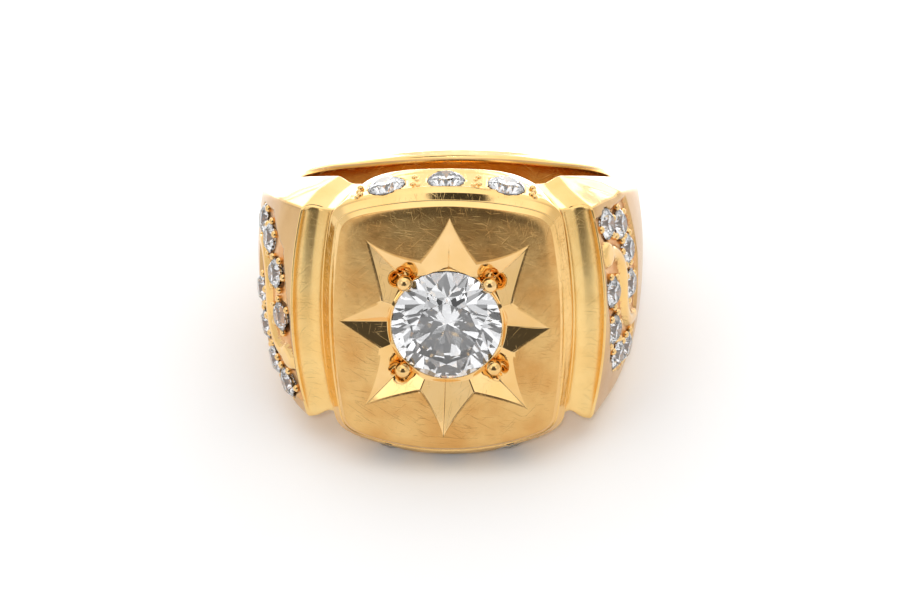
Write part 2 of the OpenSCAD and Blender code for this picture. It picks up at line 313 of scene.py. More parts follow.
# Where the facets' planes would meet in the middle, and the distances at which facets start and can end
DEEP_Y = -12.05
STAR_R = 3.39
STAR_NEAR = 3.6
STAR_FAR = 7.2

# The centre stone's radius, the y of its girdle's front edge and the slope of its crown
STONE_R = 3.325
CROWN_Y = -12.903
CROWN_SLOPE = 0.687
# Its seat, the hole behind it, and the collar's lip, which is a little wider at the top of the face
SEAT_R = 3.345
SEAT_LEDGE_Y = -12.66
SEAT_TOP_Y = -12.885
HOLE_R = 2.03
HOLE_Y = -11.49
LIP_R = 3.14
LIP_WIDER = 0.14
LIP_END_R = 3.378
# Where the collar is open: from and to which sine of the direction, and what is left of it there
OPEN_FROM = 0.74
OPEN_TO = 0.88
OPEN_SEAT_Y = -12.72
OPEN_LIP_R = 3.355
OPEN_LIP_Y = -12.76
# Widths of the small edges of hole, seat and lip, and of the star's edge
COLLAR_EDGE = 0.03
SEAT_EDGE = 0.04
LIP_EDGE = 0.012
LIP_TOP = 0.05
LIP_TOP_RISE = 0.015
STAR_EDGE = 0.025
STAR_EDGE_DEPTH = 0.008

# Four beads hold the stone, each with two cups behind it
BEAD_TURNS = (46.5, 131.0, 225.5, 317.5)
BEAD_RING_R = 3.68
BEAD_INWARD = 0.08
BEAD_Y = -12.98
BEAD_R = 0.48
CUP_OUTWARD = 0.32
CUP_ASIDE = 0.28
CUP_R = 0.4
CUP_DEPTH = 0.22

# Where the mesh's lines run: across a ray, along a facet and over the panel, as shares of the way
SECTOR_STEPS = (
    0.0, 0.012, 0.035, 0.07, 0.11, 0.155, 0.2, 0.25, 0.3, 0.35, 0.4,
    0.45, 0.505, 0.56, 0.62, 0.68, 0.74, 0.8, 0.86, 0.92, 0.97,
)
FACET_STEPS = (
    0.0, 0.02, 0.05, 0.08, 0.11, 0.14, 0.17, 0.2, 0.23, 0.26, 0.3, 0.35,
    0.41, 0.48, 0.55, 0.62, 0.69, 0.76, 0.83, 0.89, 0.94, 0.985,
)
PANEL_STEPS = (0.06, 0.16, 0.28, 0.4, 0.52, 0.64, 0.74, 0.82, 0.88, 0.93, 0.97)

# Cushion shapes of the panel's edge and of the wall: half height, half width and reach of the corners
PANEL_HALF_H = 7.34
PANEL_HALF_W = 6.47
PANEL_CORNER = 8.55
WALL_HALF_H = 8.0
WALL_HALF_W = 7.16
WALL_CORNER = 9.22
CUSHION_END_R = 17.0
CUSHION_SIDE_R = 34.0
CUSHION_SOFT = 0.5
CUSHION_NEAR = 5.0
CUSHION_FAR = 11.0
# The lower end is a little longer and fuller, and the wall leans out at the ends and in at the corners
FOOT_LONGER = 0.12
FOOT_FULLER = 0.18
FOOT_SINE = 0.5
FOOT_FADE = (0.2, 1.6)
WALL_LEAN = 0.1
CORNER_LEAN = 0.22
# The panel's edge falls away, then the rim: how far out from 0 to 1, and how deep, beside and above the star
PANEL_FALL = 0.09
PANEL_FALL_WIDTH = 0.6
RIM_SIDE = (
    (-0.02, 0.0), (0.0, 0.02), (0.04, 0.06), (0.24, 0.3), (0.3, 0.37), (0.34, 0.33), (0.4, 0.38),
    (0.43, 0.41), (0.65, 0.64), (0.9, 0.83), (0.93, 0.86), (0.985, 0.94), (1.0, 1.02),
)
RIM_END = (
    (-0.02, 0.0), (0.0, 0.02), (0.04, 0.06), (0.29, 0.28), (0.34, 0.33), (0.37, 0.3), (0.4, 0.33),
    (0.43, 0.38), (0.585, 0.63), (0.74, 0.88), (0.77, 0.92), (0.96, 0.97), (1.0, 1.04),
)
RIM_DEPTH = 1.02
WALL_ROWS = 26
WALL_TRIES = 4
BORE_ROWS = 8

# The gallery: three stones in the upper and in the lower wall
GALLERY_R = 1.03
GALLERY_STEP = 3.42
GALLERY_Y = -10.75
GALLERY_HIGH = 8.2125
GALLERY_BOW_R = 17.0
GALLERY_LEAN = 0.09
GALLERY_SUNK = 0.12
# It is sunk between two borders, of which the one beside the face is higher; pairs are where a change runs
GALLERY_FRONT = (-11.68, -11.58)
GALLERY_REAR = (-9.78, -9.7)
GALLERY_SIDES = (5.2, 5.4)
GALLERY_SINK = 0.03
GALLERY_SINE = 0.6
BORDER_SIDES = (5.4, 6.2)
BORDER_SPLIT_Y = -10.0
BORDER_FRONT = 0.1
BORDER_REAR = 0.05
# Where a gallery seat can reach, how near to its edge a point is moved onto the edge, and its shape inside
SEAT_ASIDE = 1.6
SEAT_FRONT = -11.64
SEAT_SNAP = 0.075
SEAT_WIDER = 0.12
SEAT_DEPTH = 0.3
SEAT_SLOPE = 0.8
# Where the head's golds meet: the panel's skin, inner end and fallen edge, the star's depth, and the hole
PANEL_SKIN = 0.012
PANEL_INNER_R = 4.2
PANEL_MARGIN = 0.02
PANEL_FALLEN = 0.1
PANEL_FALLEN_WIDTH = 0.62
STAR_DEPTH = 1.2
HEAD_BORE_SKIN = 0.1
# Where the head's surface in the finger hole steps back behind the band's
HEAD_BORE_X = (4.5, 5.0)


def face_at(x, z):
    """The face's y at a place: it is bowed round the finger and a little domed along it."""
    return FACE_BOW_R - math.sqrt(FACE_BOW_R ** 2 - x * x) + z * z / (2.0 * FACE_DOME_R) - FACE_Y


def polar(turn, r, y):
    return Vector((r * math.cos(turn), y, r * math.sin(turn)))


def on_face(turn, r, deep=0.0):
    return polar(turn, r, face_at(r * math.cos(turn), r * math.sin(turn)) + deep)


def cushion_reach(turn, half_h, half_w, corner):
    """Distance from the middle to the edge of a cushion shape, in the direction of a turn."""
    c, s = abs(math.cos(turn)), abs(math.sin(turn))

    def beyond(r):
        x, z = r * c, r * s
        end = math.hypot(x, z - half_h + CUSHION_END_R) - CUSHION_END_R
        side = math.hypot(x - half_w + CUSHION_SIDE_R, z) - CUSHION_SIDE_R
        return soft_max(soft_max(end, side, CUSHION_SOFT), r - corner, CUSHION_SOFT)

    return crossing(beyond, CUSHION_NEAR, CUSHION_FAR)


def foot_share(turn):
    """How far a direction belongs to the head's lower end, from 0 to 1."""
    return soft_step(0.0, FOOT_SINE, -math.sin(turn))


def rim_edge(turn, out):
    """Edge of the rim's steps: out is 0 at the panel and 1 at the wall."""
    foot = foot_share(turn)
    corner = mix(PANEL_CORNER, WALL_CORNER, out) + FOOT_FULLER * foot
    half_h = mix(PANEL_HALF_H, WALL_HALF_H, out) + FOOT_LONGER * foot
    return cushion_reach(turn, half_h, mix(PANEL_HALF_W, WALL_HALF_W, out), corner)


def wall_reach(turn, depth):
    """Distance from the middle to the wall, at a depth under the rim."""
    foot = foot_share(turn) * (1.0 - soft_step(*FOOT_FADE, depth))
    corner = WALL_CORNER + FOOT_FULLER * foot - CORNER_LEAN * depth
    half_h = WALL_HALF_H + FOOT_LONGER * foot + WALL_LEAN * depth
    return cushion_reach(turn, half_h, WALL_HALF_W, corner)


class HalfRay:
    """One half of a ray: the facet between its middle line and the corner with its neighbour."""

    def __init__(self, ray, hollow, valley):
        self.turn, self.reach, self.hollow = math.radians(ray[0]), ray[1], hollow
        self.along = Vector((math.cos(self.turn), math.sin(self.turn)))
        valley_turn = math.radians(valley[0])
        tip = self.along * self.reach
        corner = Vector((math.cos(valley_turn), math.sin(valley_turn))) * valley[1]
        self.corner_along = corner.dot(self.along)
        rise_tip = face_at(tip.x, tip.y) - DEEP_Y
        rise_corner = face_at(corner.x, corner.y) - DEEP_Y
        area = tip.x * corner.y - tip.y * corner.x
        self.slope = Vector((
            (rise_tip * corner.y - rise_corner * tip.y) / area,
            (rise_corner * tip.x - rise_tip * corner.x) / area,
        ))
        across = (corner - self.along * self.corner_along).normalized()
        self.side_slope = -self.slope.dot(across)

    def facet_at(self, r, turn):
        """The facet's y: a plane that bends where the ray's edge is hollow."""
        spot = Vector((math.cos(turn), math.sin(turn))) * r
        along = spot.dot(self.along)
        share = (self.reach - along) / (self.reach - self.corner_along)
        share = min(max(share, 0.0), 1.0)
        bend = 4.0 * self.hollow * share * (1.0 - share)
        return DEEP_Y + self.slope.dot(spot) - self.side_slope * bend

    def outline_at(self, turn):
        """Distance from the middle at which the facet comes up to the face."""
        def above(r):
            return face_at(r * math.cos(turn), r * math.sin(turn)) - self.facet_at(r, turn)
        return crossing(above, STAR_NEAR, STAR_FAR)


def gallery_axes():
    """Middle and outward direction of each gallery stone in the upper and the lower wall."""
    found = []
    tip = math.atan(GALLERY_LEAN)
    for side in (1, -1):
        for k in (-1, 0, 1):
            turn = math.asin(k * GALLERY_STEP / GALLERY_BOW_R)
            out = Matrix.Rotation(turn, 3, "Y") @ Vector((0.0, -math.sin(tip), math.cos(tip)))
            high = GALLERY_HIGH - GALLERY_BOW_R + GALLERY_BOW_R * math.cos(turn)
            spot = Vector((k * GALLERY_STEP, GALLERY_Y, high)) - out * GALLERY_SUNK
            out.z *= side
            spot.z *= side
            found.append((spot, out))
    return found


GALLERY = gallery_axes()


def with_gallery(point):
    """Raises the gallery's borders, sinks the field between them and cuts the stones' seats into it."""
    field = soft_step(*GALLERY_FRONT, point.y) * (1.0 - soft_step(*GALLERY_REAR, point.y))
    field *= 1.0 - soft_step(*GALLERY_SIDES, abs(point.x))
    border = BORDER_FRONT if point.y < BORDER_SPLIT_Y else BORDER_REAR
    border *= 1.0 - soft_step(*BORDER_SIDES, abs(point.x))
    rise = Vector((0.0, 0.0, math.copysign(mix(border, -GALLERY_SINK, field), point.z)))
    for spot, out in GALLERY:
        if spot.z * point.z < 0.0 or abs(point.x - spot.x) > SEAT_ASIDE or point.y < SEAT_FRONT:
            continue
        off = point - spot
        flat = off - out * off.dot(out)
        if abs(flat.length - GALLERY_R) < SEAT_SNAP:
            return point + flat * (GALLERY_R / flat.length - 1.0) + rise
        if flat.length < GALLERY_R:
            # wider than the lip over it, for the stone's girdle
            return point + flat * SEAT_WIDER - out * (SEAT_DEPTH + SEAT_SLOPE * (GALLERY_R - flat.length))
    return point + rise


def cup_depth(spot):
    """Depth of the two cups that the graver cut behind each bead."""
    deep = 0.0
    for turn in BEAD_TURNS:
        a = math.radians(turn)
        for way in (-CUP_ASIDE, CUP_ASIDE):
            x = (BEAD_RING_R + CUP_OUTWARD) * math.cos(a) - way * math.sin(a)
            z = (BEAD_RING_R + CUP_OUTWARD) * math.sin(a) + way * math.cos(a)
            share = math.hypot(spot.x - x, spot.z - z) / CUP_R
            if share < 1.0:
                deep = max(deep, CUP_DEPTH * (1.0 - share * share))
    return deep


def collar_points(turn):
    """Points from the finger hole through the drilled hole and over the stone's seat to the collar's lip.
    The lip laps over the stone's girdle, but at the top of the face the star runs up to the stone."""
    s = math.sin(turn)
    open_top = soft_step(OPEN_FROM, OPEN_TO, s)
    lapping_r = LIP_R + LIP_WIDER * s
    lip_y = mix(CROWN_Y - (STONE_R - lapping_r) * CROWN_SLOPE, OPEN_LIP_Y, open_top)
    lip_r = mix(lapping_r, OPEN_LIP_R, open_top)
    places = (
        (HOLE_R, -math.sqrt(BORE_R ** 2 - (HOLE_R * math.cos(turn)) ** 2)),
        (HOLE_R, HOLE_Y + COLLAR_EDGE),
        (HOLE_R + COLLAR_EDGE, HOLE_Y),
        (SEAT_R - SEAT_EDGE, SEAT_LEDGE_Y + COLLAR_EDGE),
        (SEAT_R, SEAT_LEDGE_Y),
        (SEAT_R, mix(SEAT_TOP_Y, OPEN_SEAT_Y, open_top)),
        (lip_r + LIP_EDGE * (1.0 - open_top), lip_y + COLLAR_EDGE),
        (lip_r, lip_y),
        (min(lip_r + LIP_TOP, LIP_END_R), lip_y - LIP_TOP_RISE),
    )
    return [polar(turn, r, y) for r, y in places]


def star_points(turn, half_ray, groove):
    """Points over the star's facet, with its cups and groove, and over the star's edge, and their reach."""
    reach = half_ray.outline_at(turn)
    found = []
    for share in FACET_STEPS:
        r = mix(STAR_R, reach, share)
        spot = polar(turn, r, half_ray.facet_at(r, turn))
        found.append(spot + Vector((0.0, max(cup_depth(spot), groove), 0.0)))
    found += [on_face(turn, reach, STAR_EDGE_DEPTH), on_face(turn, reach + STAR_EDGE)]
    return found, reach


def panel_points(turn, reach):
    """Points over the panel, from the star to its edge, and over the rim."""
    edge = rim_edge(turn, 0.0)
    found = []
    for share in PANEL_STEPS:
        r = mix(reach, edge, share)
        fall = PANEL_FALL * max(1.0 - (edge - r) / PANEL_FALL_WIDTH, 0.0) ** 2
        found.append(on_face(turn, r, fall))
    s = math.sin(turn)
    for at_side, at_end in zip(RIM_SIDE, RIM_END):
        out, deep = mix(at_side[0], at_end[0], s * s), mix(at_side[1], at_end[1], s * s)
        found.append(on_face(turn, rim_edge(turn, out), deep + PANEL_FALL * (1.0 - max(out, 0.0))))
    return found


def wall_points(turn):
    """Points down the head's wall to the finger hole or the head's back, and the last one's distance."""
    c, s = math.cos(turn), math.sin(turn)
    found = []
    for j in range(1, WALL_ROWS + 1):
        r = rim_edge(turn, 1.0)
        for _ in range(WALL_TRIES):
            top_y = face_at(r * c, r * s) + RIM_DEPTH
            back_y = -max(math.sqrt(BORE_R ** 2 - (r * c) ** 2), HEAD_BACK)
            y = mix(top_y, back_y, j / WALL_ROWS)
            r = wall_reach(turn, y - top_y)
        point = polar(turn, r, y)
        found.append(with_gallery(point) if abs(s) > GALLERY_SINE and j < WALL_ROWS else point)
    return found, r


def bore_points(turn, last):
    """Points along the finger hole, from the wall to the drilled hole."""
    found = []
    for j in range(1, BORE_ROWS):
        r = mix(last, HOLE_R, j / BORE_ROWS)
        x = r * math.cos(turn)
        inner_r = BORE_R + BORE_STEP * soft_step(*HEAD_BORE_X, abs(x))
        found.append(polar(turn, r, -max(math.sqrt(inner_r ** 2 - x * x), HEAD_BACK)))
    return found


def head_column(turn, half_ray, groove):
    """Closed outline of one slice of the head: drilled hole, collar, star, panel, rim, wall and bore."""
    collar = collar_points(turn)
    star, reach = star_points(turn, half_ray, groove)
    wall, last = wall_points(turn)
    return collar + star + panel_points(turn, reach) + wall + bore_points(turn, last) + [collar[0].copy()]


def make_head():
    columns = []
    for k in range(8):
        ray, after, valley = RAYS[k], RAYS[(k + 1) % 8], VALLEYS[k]
        turn_tip, turn_valley, turn_after = ray[0], valley[0], after[0] + (360.0 if k == 7 else 0.0)
        first, second = HalfRay(ray, ray[3], valley), HalfRay(after, after[2], valley)
        for share in SECTOR_STEPS:
            groove = GROOVE_DEPTH if share == 0.0 and k in GROOVED_RAYS else 0.0
            columns.append(head_column(math.radians(mix(turn_tip, turn_valley, share)), first, groove))
        for share in (1.0, *reversed(SECTOR_STEPS[1:])):
            turn = math.radians(mix(turn_after, turn_valley, share))
            columns.append(head_column(turn, second, 0.0))
    columns.append([p.copy() for p in columns[0]])
    rows = len(columns[0]) - 1
    bm = grid_of(len(columns) - 1, rows, lambda i, j: columns[i][j])
    for face in bm.faces:
        spot = face.calc_center_median()
        r = math.hypot(spot.x, spot.z)
        deep = spot.y - face_at(spot.x, spot.z)
        inside = rim_edge(math.atan2(spot.z, spot.x), 0.0) - PANEL_MARGIN
        # the panel lies on the face, except that it falls away near its edge
        on_panel = deep < PANEL_SKIN or (deep < PANEL_FALLEN and r > inside - PANEL_FALLEN_WIDTH)
        if on_panel and PANEL_INNER_R < r < inside:
            face.material_index = HEAD_GOLDS.index(satin_gold)
        elif r < inside and deep < STAR_DEPTH:
            face.material_index = HEAD_GOLDS.index(cut_gold)
        # faces in the finger hole take the darker gold that paints the hole's shade
        elif math.hypot(spot.x, spot.y) < BORE_R + HEAD_BORE_SKIN:
            face.material_index = HEAD_GOLDS.index(bore_gold_painted_shade)
    return finish_piece(bm, "gold_head", HEAD_GOLDS)


# Band: both halves are modelled on the right, and the left one is then turned half a turn about the face

# The flute beside the head: radius, place and bows, and the angle at which its hollow starts
FLUTE_R = 1.15
FLUTE_X = 8.15
FLUTE_BOW_X = 62.0
FLUTE_Y = -11.5
FLUTE_BOW_Y = 140.0
FLUTE_START = -1.02
# The band's end, hidden inside the head, and the y at which the shoulder's ornament ends
BAND_START_X = 5.2
BAND_START_Y = -10.3
SHOULDER_END_Y = -4.0

# The sunk field on the shoulder, as corners (y, z)
FIELD = ((-10.35, 5.55), (-5.2, 5.1), (-4.2, 1.2), (-4.3, -4.4), (-7.0, -4.9), (-9.3, -3.4), (-10.3, 0.4))
FIELD_DEPTH = 0.2
# Places (y, z) of the paving stones on the right shoulder
PAVE_RIGHT = (
    (-8.8, 4.75), (-6.9, 4.05), (-6.15, 2.25), (-6.05, 0.05),
    (-9.3, 0.75), (-8.95, -1.7), (-7.75, -3.7), (-5.85, -3.95),
)
# Those of the left shoulder, before it is turned
PAVE_LEFT = (
    (-8.6, 5.1), (-6.5, 4.45), (-5.2, 2.8), (-5.0, 0.6),
    (-9.1, 0.8), (-8.45, -1.6), (-6.8, -3.2), (-4.7, -3.6),
)
PAVE_R = 0.92
PAVE_SEAT_DEPTH = 0.25
PAVE_SEAT_SLOPE = 0.75
# The S ribbon's two arcs: middle (y, z), radius, and first and last direction in degrees
UPPER_ARC = (-9.55, 0.9, 2.25, 0.0, 92.0)
LOWER_ARC = (-4.9, 0.0, 2.4, 180.0, 275.0)
RIBBON_JOIN_Y = -7.3
LEAF_Y = -9.55
LEAF_Z = 3.15
LEAF_R = 0.35
RIBBON_HALF = 0.4
RIBBON_RISE = 0.14

# Half height of the band's side face at the finger hole, how it narrows, and how little is left behind
SIDE_HALF = 4.47
SIDE_NARROWING = 0.374
SIDE_EASING = 0.204
SIDE_EASING_SOFT = 1.2
SIDE_BEND = 0.0075
BACK_HALF = 2.4
BACK_SOFT = 0.6
# How the side face falls outwards, beside the head and behind; pairs are where a change runs, along y
SIDE_FALL = 0.52
FOOT_FALL_BEHIND = 0.04
TOP_FALL_BEHIND = -0.06
FALL_CHANGE = (-2.0, 7.0)
# Its hollow beside the head: depth, width, and the place and slant of the line that it follows
HOLLOW_DEPTH = 0.5
HOLLOW_WIDTH = 1.6
HOLLOW_X = 6.9
HOLLOW_Y = -10.5
HOLLOW_SLANT = 0.55
# Where the hand-made side faces stand higher, and by how much
FOOT_RISE_X = (6.8, 7.8)
LEFT_FOOT_RISE = 0.28
LEFT_FOOT_FADE = (-9.6, -8.0)
RIGHT_FOOT_RISE = 0.4
RIGHT_FOOT_FADE = (-7.2, -4.6)
RIGHT_TOP_RISE = 0.18
RIGHT_TOP_START = (-6.8, -5.4)
RIGHT_TOP_FADE = (-2.0, 3.0)
# How far the hand-made shoulders stand out, and how thick the band is where they do so in full
LEAN_LEFT = 0.3
LEAN_RIGHT = -0.15
LEAN_START = (-10.6, -8.0)
LEAN_FADE = (1.0, 8.0)
LEAN_THICKNESS = 1.6
# Width of a relief's soft edge, inside and outside its outline
RELIEF_SOFT_IN = 0.07
RELIEF_SOFT_OUT = 0.05
# Stations that carry the shoulder's ornament, and over which it starts
RELIEF_STATIONS = (2.0, 3.02)
RELIEF_START = (2.0, 2.03)
# Widths of the section's soft edges, outside and in the finger hole, and the stations where they change
OUTER_SOFT = (0.2, 0.28)
OUTER_SOFT_CHANGE = (1.5, 2.0)
HOLE_SOFT = (0.18, 0.5)
HOLE_SOFT_CHANGE = (3.6, 4.4)
# Where the band's golds meet: steepest outer face, skins of flute and hole, and ends of flute and shoulder
OUTSIDE_NORMAL_Z = 0.7
FLUTE_SKIN = 0.12
FLUTE_BACK_Y = -9.2
BAND_BORE_SKIN = 0.06
SHOULDER_BACK_Y = -3.9
FIELD_REACH_IN = 1.2
FIELD_MARGIN = 0.02

FLUTE_COLUMNS = 14
FIELD_COLUMNS = 66
SIDE_COLUMNS = 24
BACK_COLUMNS = 60
OUTER_ROWS = 108
TOP_ROWS = 9
INNER_ROWS = 12
LIP_START = 5.5
LIP_TRIES = 12
# Shares of the way round a soft edge
ROUND_STEPS = (0.0, 0.15, 0.32, 0.5, 0.68, 0.85, 1.0)
# Stations, and where in the finger hole their sections end, in degrees from the head's middle
INNER_TURNS = ((0.0, 31.0), (1.0, 36.5), (2.0, 43.0), (3.0, 67.0), (4.0, 88.0), (5.0, 180.0))
# Where the band's surface in the finger hole comes out from behind the head's, in the same degrees
BAND_BORE_TURNS = (31.0, 34.0)


def flute_x(z):
    return FLUTE_X - z * z / FLUTE_BOW_X


def barrel_x(y, z):
    return BARREL_X + math.sqrt(BARREL_R ** 2 - (y - BAND_Y) ** 2 - z * z)


def flute_point(angle, z):
    """Point of the flute's hollow, by the angle from straight back towards the side."""
    y = FLUTE_Y + z * z / FLUTE_BOW_Y + FLUTE_R * math.cos(angle)
    return flute_x(z) + FLUTE_R * math.sin(angle), y


def ridge_angle(z):
    """Angle at which the flute's hollow meets the barrel surface."""
    def outside(angle):
        x, y = flute_point(angle, z)
        return x - barrel_x(y, z)
    return crossing(outside, 0.1, 1.4)


def side_height(x, y, left, foot):
    """Height of the band's side face, with a hollow beside the head. The hand-made ends differ a little."""
    out = math.hypot(x, y) - BORE_R
    behind = max(y, 0.0)
    easing = SIDE_EASING * soft_max(y, 0.0, SIDE_EASING_SOFT)
    inner = SIDE_HALF - SIDE_NARROWING * y + easing - SIDE_BEND * behind * behind
    inner = soft_max(inner, BACK_HALF, BACK_SOFT)
    fall = mix(SIDE_FALL, FOOT_FALL_BEHIND if foot else TOP_FALL_BEHIND, soft_step(*FALL_CHANGE, y))
    beside = x - HOLLOW_X + HOLLOW_SLANT * (y - HOLLOW_Y)
    hollow = HOLLOW_DEPTH * (1.0 - soft_step(0.0, HOLLOW_WIDTH, beside))
    height = inner - fall * out - hollow
    if foot and left:
        height += LEFT_FOOT_RISE * soft_step(*FOOT_RISE_X, x) * (1.0 - soft_step(*LEFT_FOOT_FADE, y))
    elif foot:
        height += RIGHT_FOOT_RISE * soft_step(*FOOT_RISE_X, x) * (1.0 - soft_step(*RIGHT_FOOT_FADE, y))
    elif not left:
        rise = RIGHT_TOP_RISE * soft_step(*RIGHT_TOP_START, y) * (1.0 - soft_step(*RIGHT_TOP_FADE, y))
        height += rise * min(out, 1.0)
    return height


def lean(point, left):
    """Moves a point with its hand-made shoulder: the left one stands out a little, the right one in."""
    share = soft_step(*LEAN_START, point.y) * (1.0 - soft_step(*LEAN_FADE, point.y))
    share *= min(max((math.hypot(point.x, point.y) - BORE_R) / LEAN_THICKNESS, 0.0), 1.0)
    return Vector((point.x + share * (LEAN_LEFT if left else LEAN_RIGHT), point.y, point.z))


def polygon_distance(spot, corners):
    """Distance of a spot from a polygon's edge, below zero inside it."""
    nearest, inside = math.inf, False
    for k, a in enumerate(corners):
        b = corners[k - 1]
        edge = Vector(b) - Vector(a)
        off = Vector(spot) - Vector(a)
        share = min(max(off.dot(edge) / edge.length_squared, 0.0), 1.0)
        nearest = min(nearest, (off - edge * share).length)
        if (a[1] > spot[1]) != (b[1] > spot[1]):
            if spot[0] < (b[0] - a[0]) * (spot[1] - a[1]) / (b[1] - a[1]) + a[0]:
                inside = not inside
    return -nearest if inside else nearest


def arc_distance(y, z, arc):
    """Distance of a spot from an arc, or from the arc's last end where the spot isn't beside it."""
    middle_y, middle_z, r, first, last = arc
    off = Vector((y - middle_y, z - middle_z))
    if first <= math.degrees(math.atan2(off.y, off.x)) % 360.0 <= last:
        return abs(off.length - r)
    end = math.radians(last)
    return (off - Vector((r * math.cos(end), r * math.sin(end)))).length


def ribbon_distance(y, z):
    """Distance of a spot on the shoulder from the middle line of the S ribbon."""
    upper, lower = arc_distance(y, z, UPPER_ARC), arc_distance(y, z, LOWER_ARC)
    straight = abs(y - RIBBON_JOIN_Y) if LOWER_ARC[1] <= z <= UPPER_ARC[1] else math.inf
    leaf = max(math.hypot(y - LEAF_Y, z - LEAF_Z) - LEAF_R, 0.0)
    return min(upper, lower, straight, leaf)


def shoulder_relief(y, z, stones):
    """Height of the shoulder's ornament over its barrel surface."""
    ribbon = ribbon_distance(y, z)
    on_ribbon = 1.0 - soft_step(RIBBON_HALF - RELIEF_SOFT_IN, RIBBON_HALF + RELIEF_SOFT_OUT, ribbon)
    in_field = 1.0 - soft_step(-RELIEF_SOFT_IN, RELIEF_SOFT_OUT, polygon_distance((y, z), FIELD))
    height = -FIELD_DEPTH * in_field
    round_top = RIBBON_RISE * max(1.0 - (ribbon / RIBBON_HALF) ** 2, 0.0)
    height = mix(height, round_top, on_ribbon)
    for spot in stones:
        d = math.hypot(y - spot[0], z - spot[1])
        if d < PAVE_R:
            height = min(height, -PAVE_SEAT_DEPTH - PAVE_SEAT_SLOPE * (PAVE_R - d))
    return height


def rounded(a, corner, b):
    """Points of a soft edge between a and b round their sharp corner."""
    return [
        a * (1 - share) ** 2 + corner * 2 * share * (1 - share) + b * share ** 2 for share in ROUND_STEPS
    ]


def outer_point(station, z):
    """Place of the outer surface at a station: 0 to 1 before the flute, then flute, field, side and
    back, with whole numbers between them."""
    part = min(int(station), 4)
    share = station - part
    if part == 0:
        start_x, start_y = flute_point(FLUTE_START, z)
        return mix(BAND_START_X, start_x, share), mix(BAND_START_Y, start_y, share)
    ridge = ridge_angle(z)
    if part == 1:
        return flute_point(mix(FLUTE_START, ridge, share), z)
    if part == 2:
        y = mix(flute_point(ridge, z)[1], SHOULDER_END_Y, share)
        return barrel_x(y, z), y
    if part == 3:
        y = mix(SHOULDER_END_Y, BAND_Y, share)
        return barrel_x(y, z), y
    turn = share * math.pi / 2.0
    r = BARREL_X + math.sqrt(BARREL_R ** 2 - z * z)
    return r * math.cos(turn), BAND_Y + r * math.sin(turn)


def inner_point(station):
    """Place in the finger hole where a station's section ends."""
    for (low, turn_low), (high, turn_high) in zip(INNER_TURNS, INNER_TURNS[1:]):
        if station <= high:
            turn = math.radians(mix(turn_low, turn_high, (station - low) / (high - low)))
            break
    r = BORE_R + BORE_STEP * (1.0 - soft_step(*BAND_BORE_TURNS, math.degrees(turn)))
    return Vector((r * math.sin(turn), -r * math.cos(turn)))


def band_section(station, left):
    """Closed section of half the band at a station, from the outer surface's top lip round.
    The left half is turned afterwards, so its top here becomes the left side's foot."""
    soft = mix(*OUTER_SOFT, soft_step(*OUTER_SOFT_CHANGE, station))
    soft_hole = mix(*HOLE_SOFT, soft_step(*HOLE_SOFT_CHANGE, station))
    inner = inner_point(station)
    stones = PAVE_LEFT if left else PAVE_RIGHT

    def outer(z):
        x, y = outer_point(station, z)
        point = Vector((x, y, z))
        if RELIEF_STATIONS[0] <= station <= RELIEF_STATIONS[1]:
            out = Vector((x - BARREL_X, y - BAND_Y, z)) / BARREL_R
            edge = soft_step(*RELIEF_START, station)
            point += out * shoulder_relief(y, z, stones) * edge
        return point

    def end(way):
        """Points from the outer surface over the side face to the hole, at one end of the section."""
        foot = (way > 0) == left
        # the surface and its height depend on each other, so the lip is found step by step
        lip_z = LIP_START
        for _ in range(LIP_TRIES):
            lip_z = side_height(*outer_point(station, lip_z * way), left, foot)
        lip = Vector((*outer_point(station, lip_z * way), lip_z * way))
        flat = inner - lip.xy
        found = []
        first, last = soft / flat.length, 1.0 - soft_hole / flat.length
        for j in range(TOP_ROWS + 1):
            spot = lip.xy + flat * mix(first, last, j / TOP_ROWS)
            found.append(Vector((*spot, way * side_height(*spot, left, foot))))
        inner_z = side_height(*inner, left, foot)
        hole_edge = Vector((*inner, way * inner_z))
        lip_arc = rounded(outer(way * (lip_z - soft)), lip, found[0])
        hole_arc = rounded(found[-1], hole_edge, Vector((*inner, way * (inner_z - soft_hole))))
        return lip_arc + found[1:-1] + hole_arc, lip_z - soft, inner_z - soft_hole

    upper, outer_top, inner_top = end(1)
    lower, outer_foot, inner_foot = end(-1)
    inner_rows = [
        Vector((*inner, mix(inner_top, -inner_foot, j / INNER_ROWS))) for j in range(1, INNER_ROWS)
    ]
    outer_rows = [outer(mix(-outer_foot, outer_top, j / OUTER_ROWS)) for j in range(1, OUTER_ROWS)]
    section = upper + inner_rows + list(reversed(lower)) + outer_rows
    section = [lean(p, left) for p in section]
    return section + [section[0].copy()]


def choose_band_golds(bm):
    """Gives each face of the band its gold, by where it is and which way it looks."""
    bm.normal_update()
    for face in bm.faces:
        spot = face.calc_center_median()
        x, y, z = abs(spot.x), spot.y, spot.z if spot.x > 0.0 else -spot.z
        outside = abs(face.normal.z) < OUTSIDE_NORMAL_Z
        from_flute = math.hypot(x - flute_x(z), y - FLUTE_Y - z * z / FLUTE_BOW_Y) - FLUTE_R
        on_shoulder = y < SHOULDER_BACK_Y
        # faces in the finger hole take the darker gold that paints the hole's shade
        if math.hypot(x, y) < BORE_R + BAND_BORE_SKIN:
            face.material_index = BAND_GOLDS.index(bore_gold_painted_shade)
        elif outside and y < FLUTE_BACK_Y and abs(from_flute) < FLUTE_SKIN:
            face.material_index = BAND_GOLDS.index(flute_gold)
        elif on_shoulder and ribbon_distance(y, z) < RIBBON_HALF:
            face.material_index = BAND_GOLDS.index(polished_gold)
        elif (
            on_shoulder
            and x > barrel_x(y, z) - FIELD_REACH_IN
            and polygon_distance((y, z), FIELD) < -FIELD_MARGIN
        ):
            face.material_index = BAND_GOLDS.index(pitted_gold)
        elif outside:
            face.material_index = BAND_GOLDS.index(shoulder_gold)


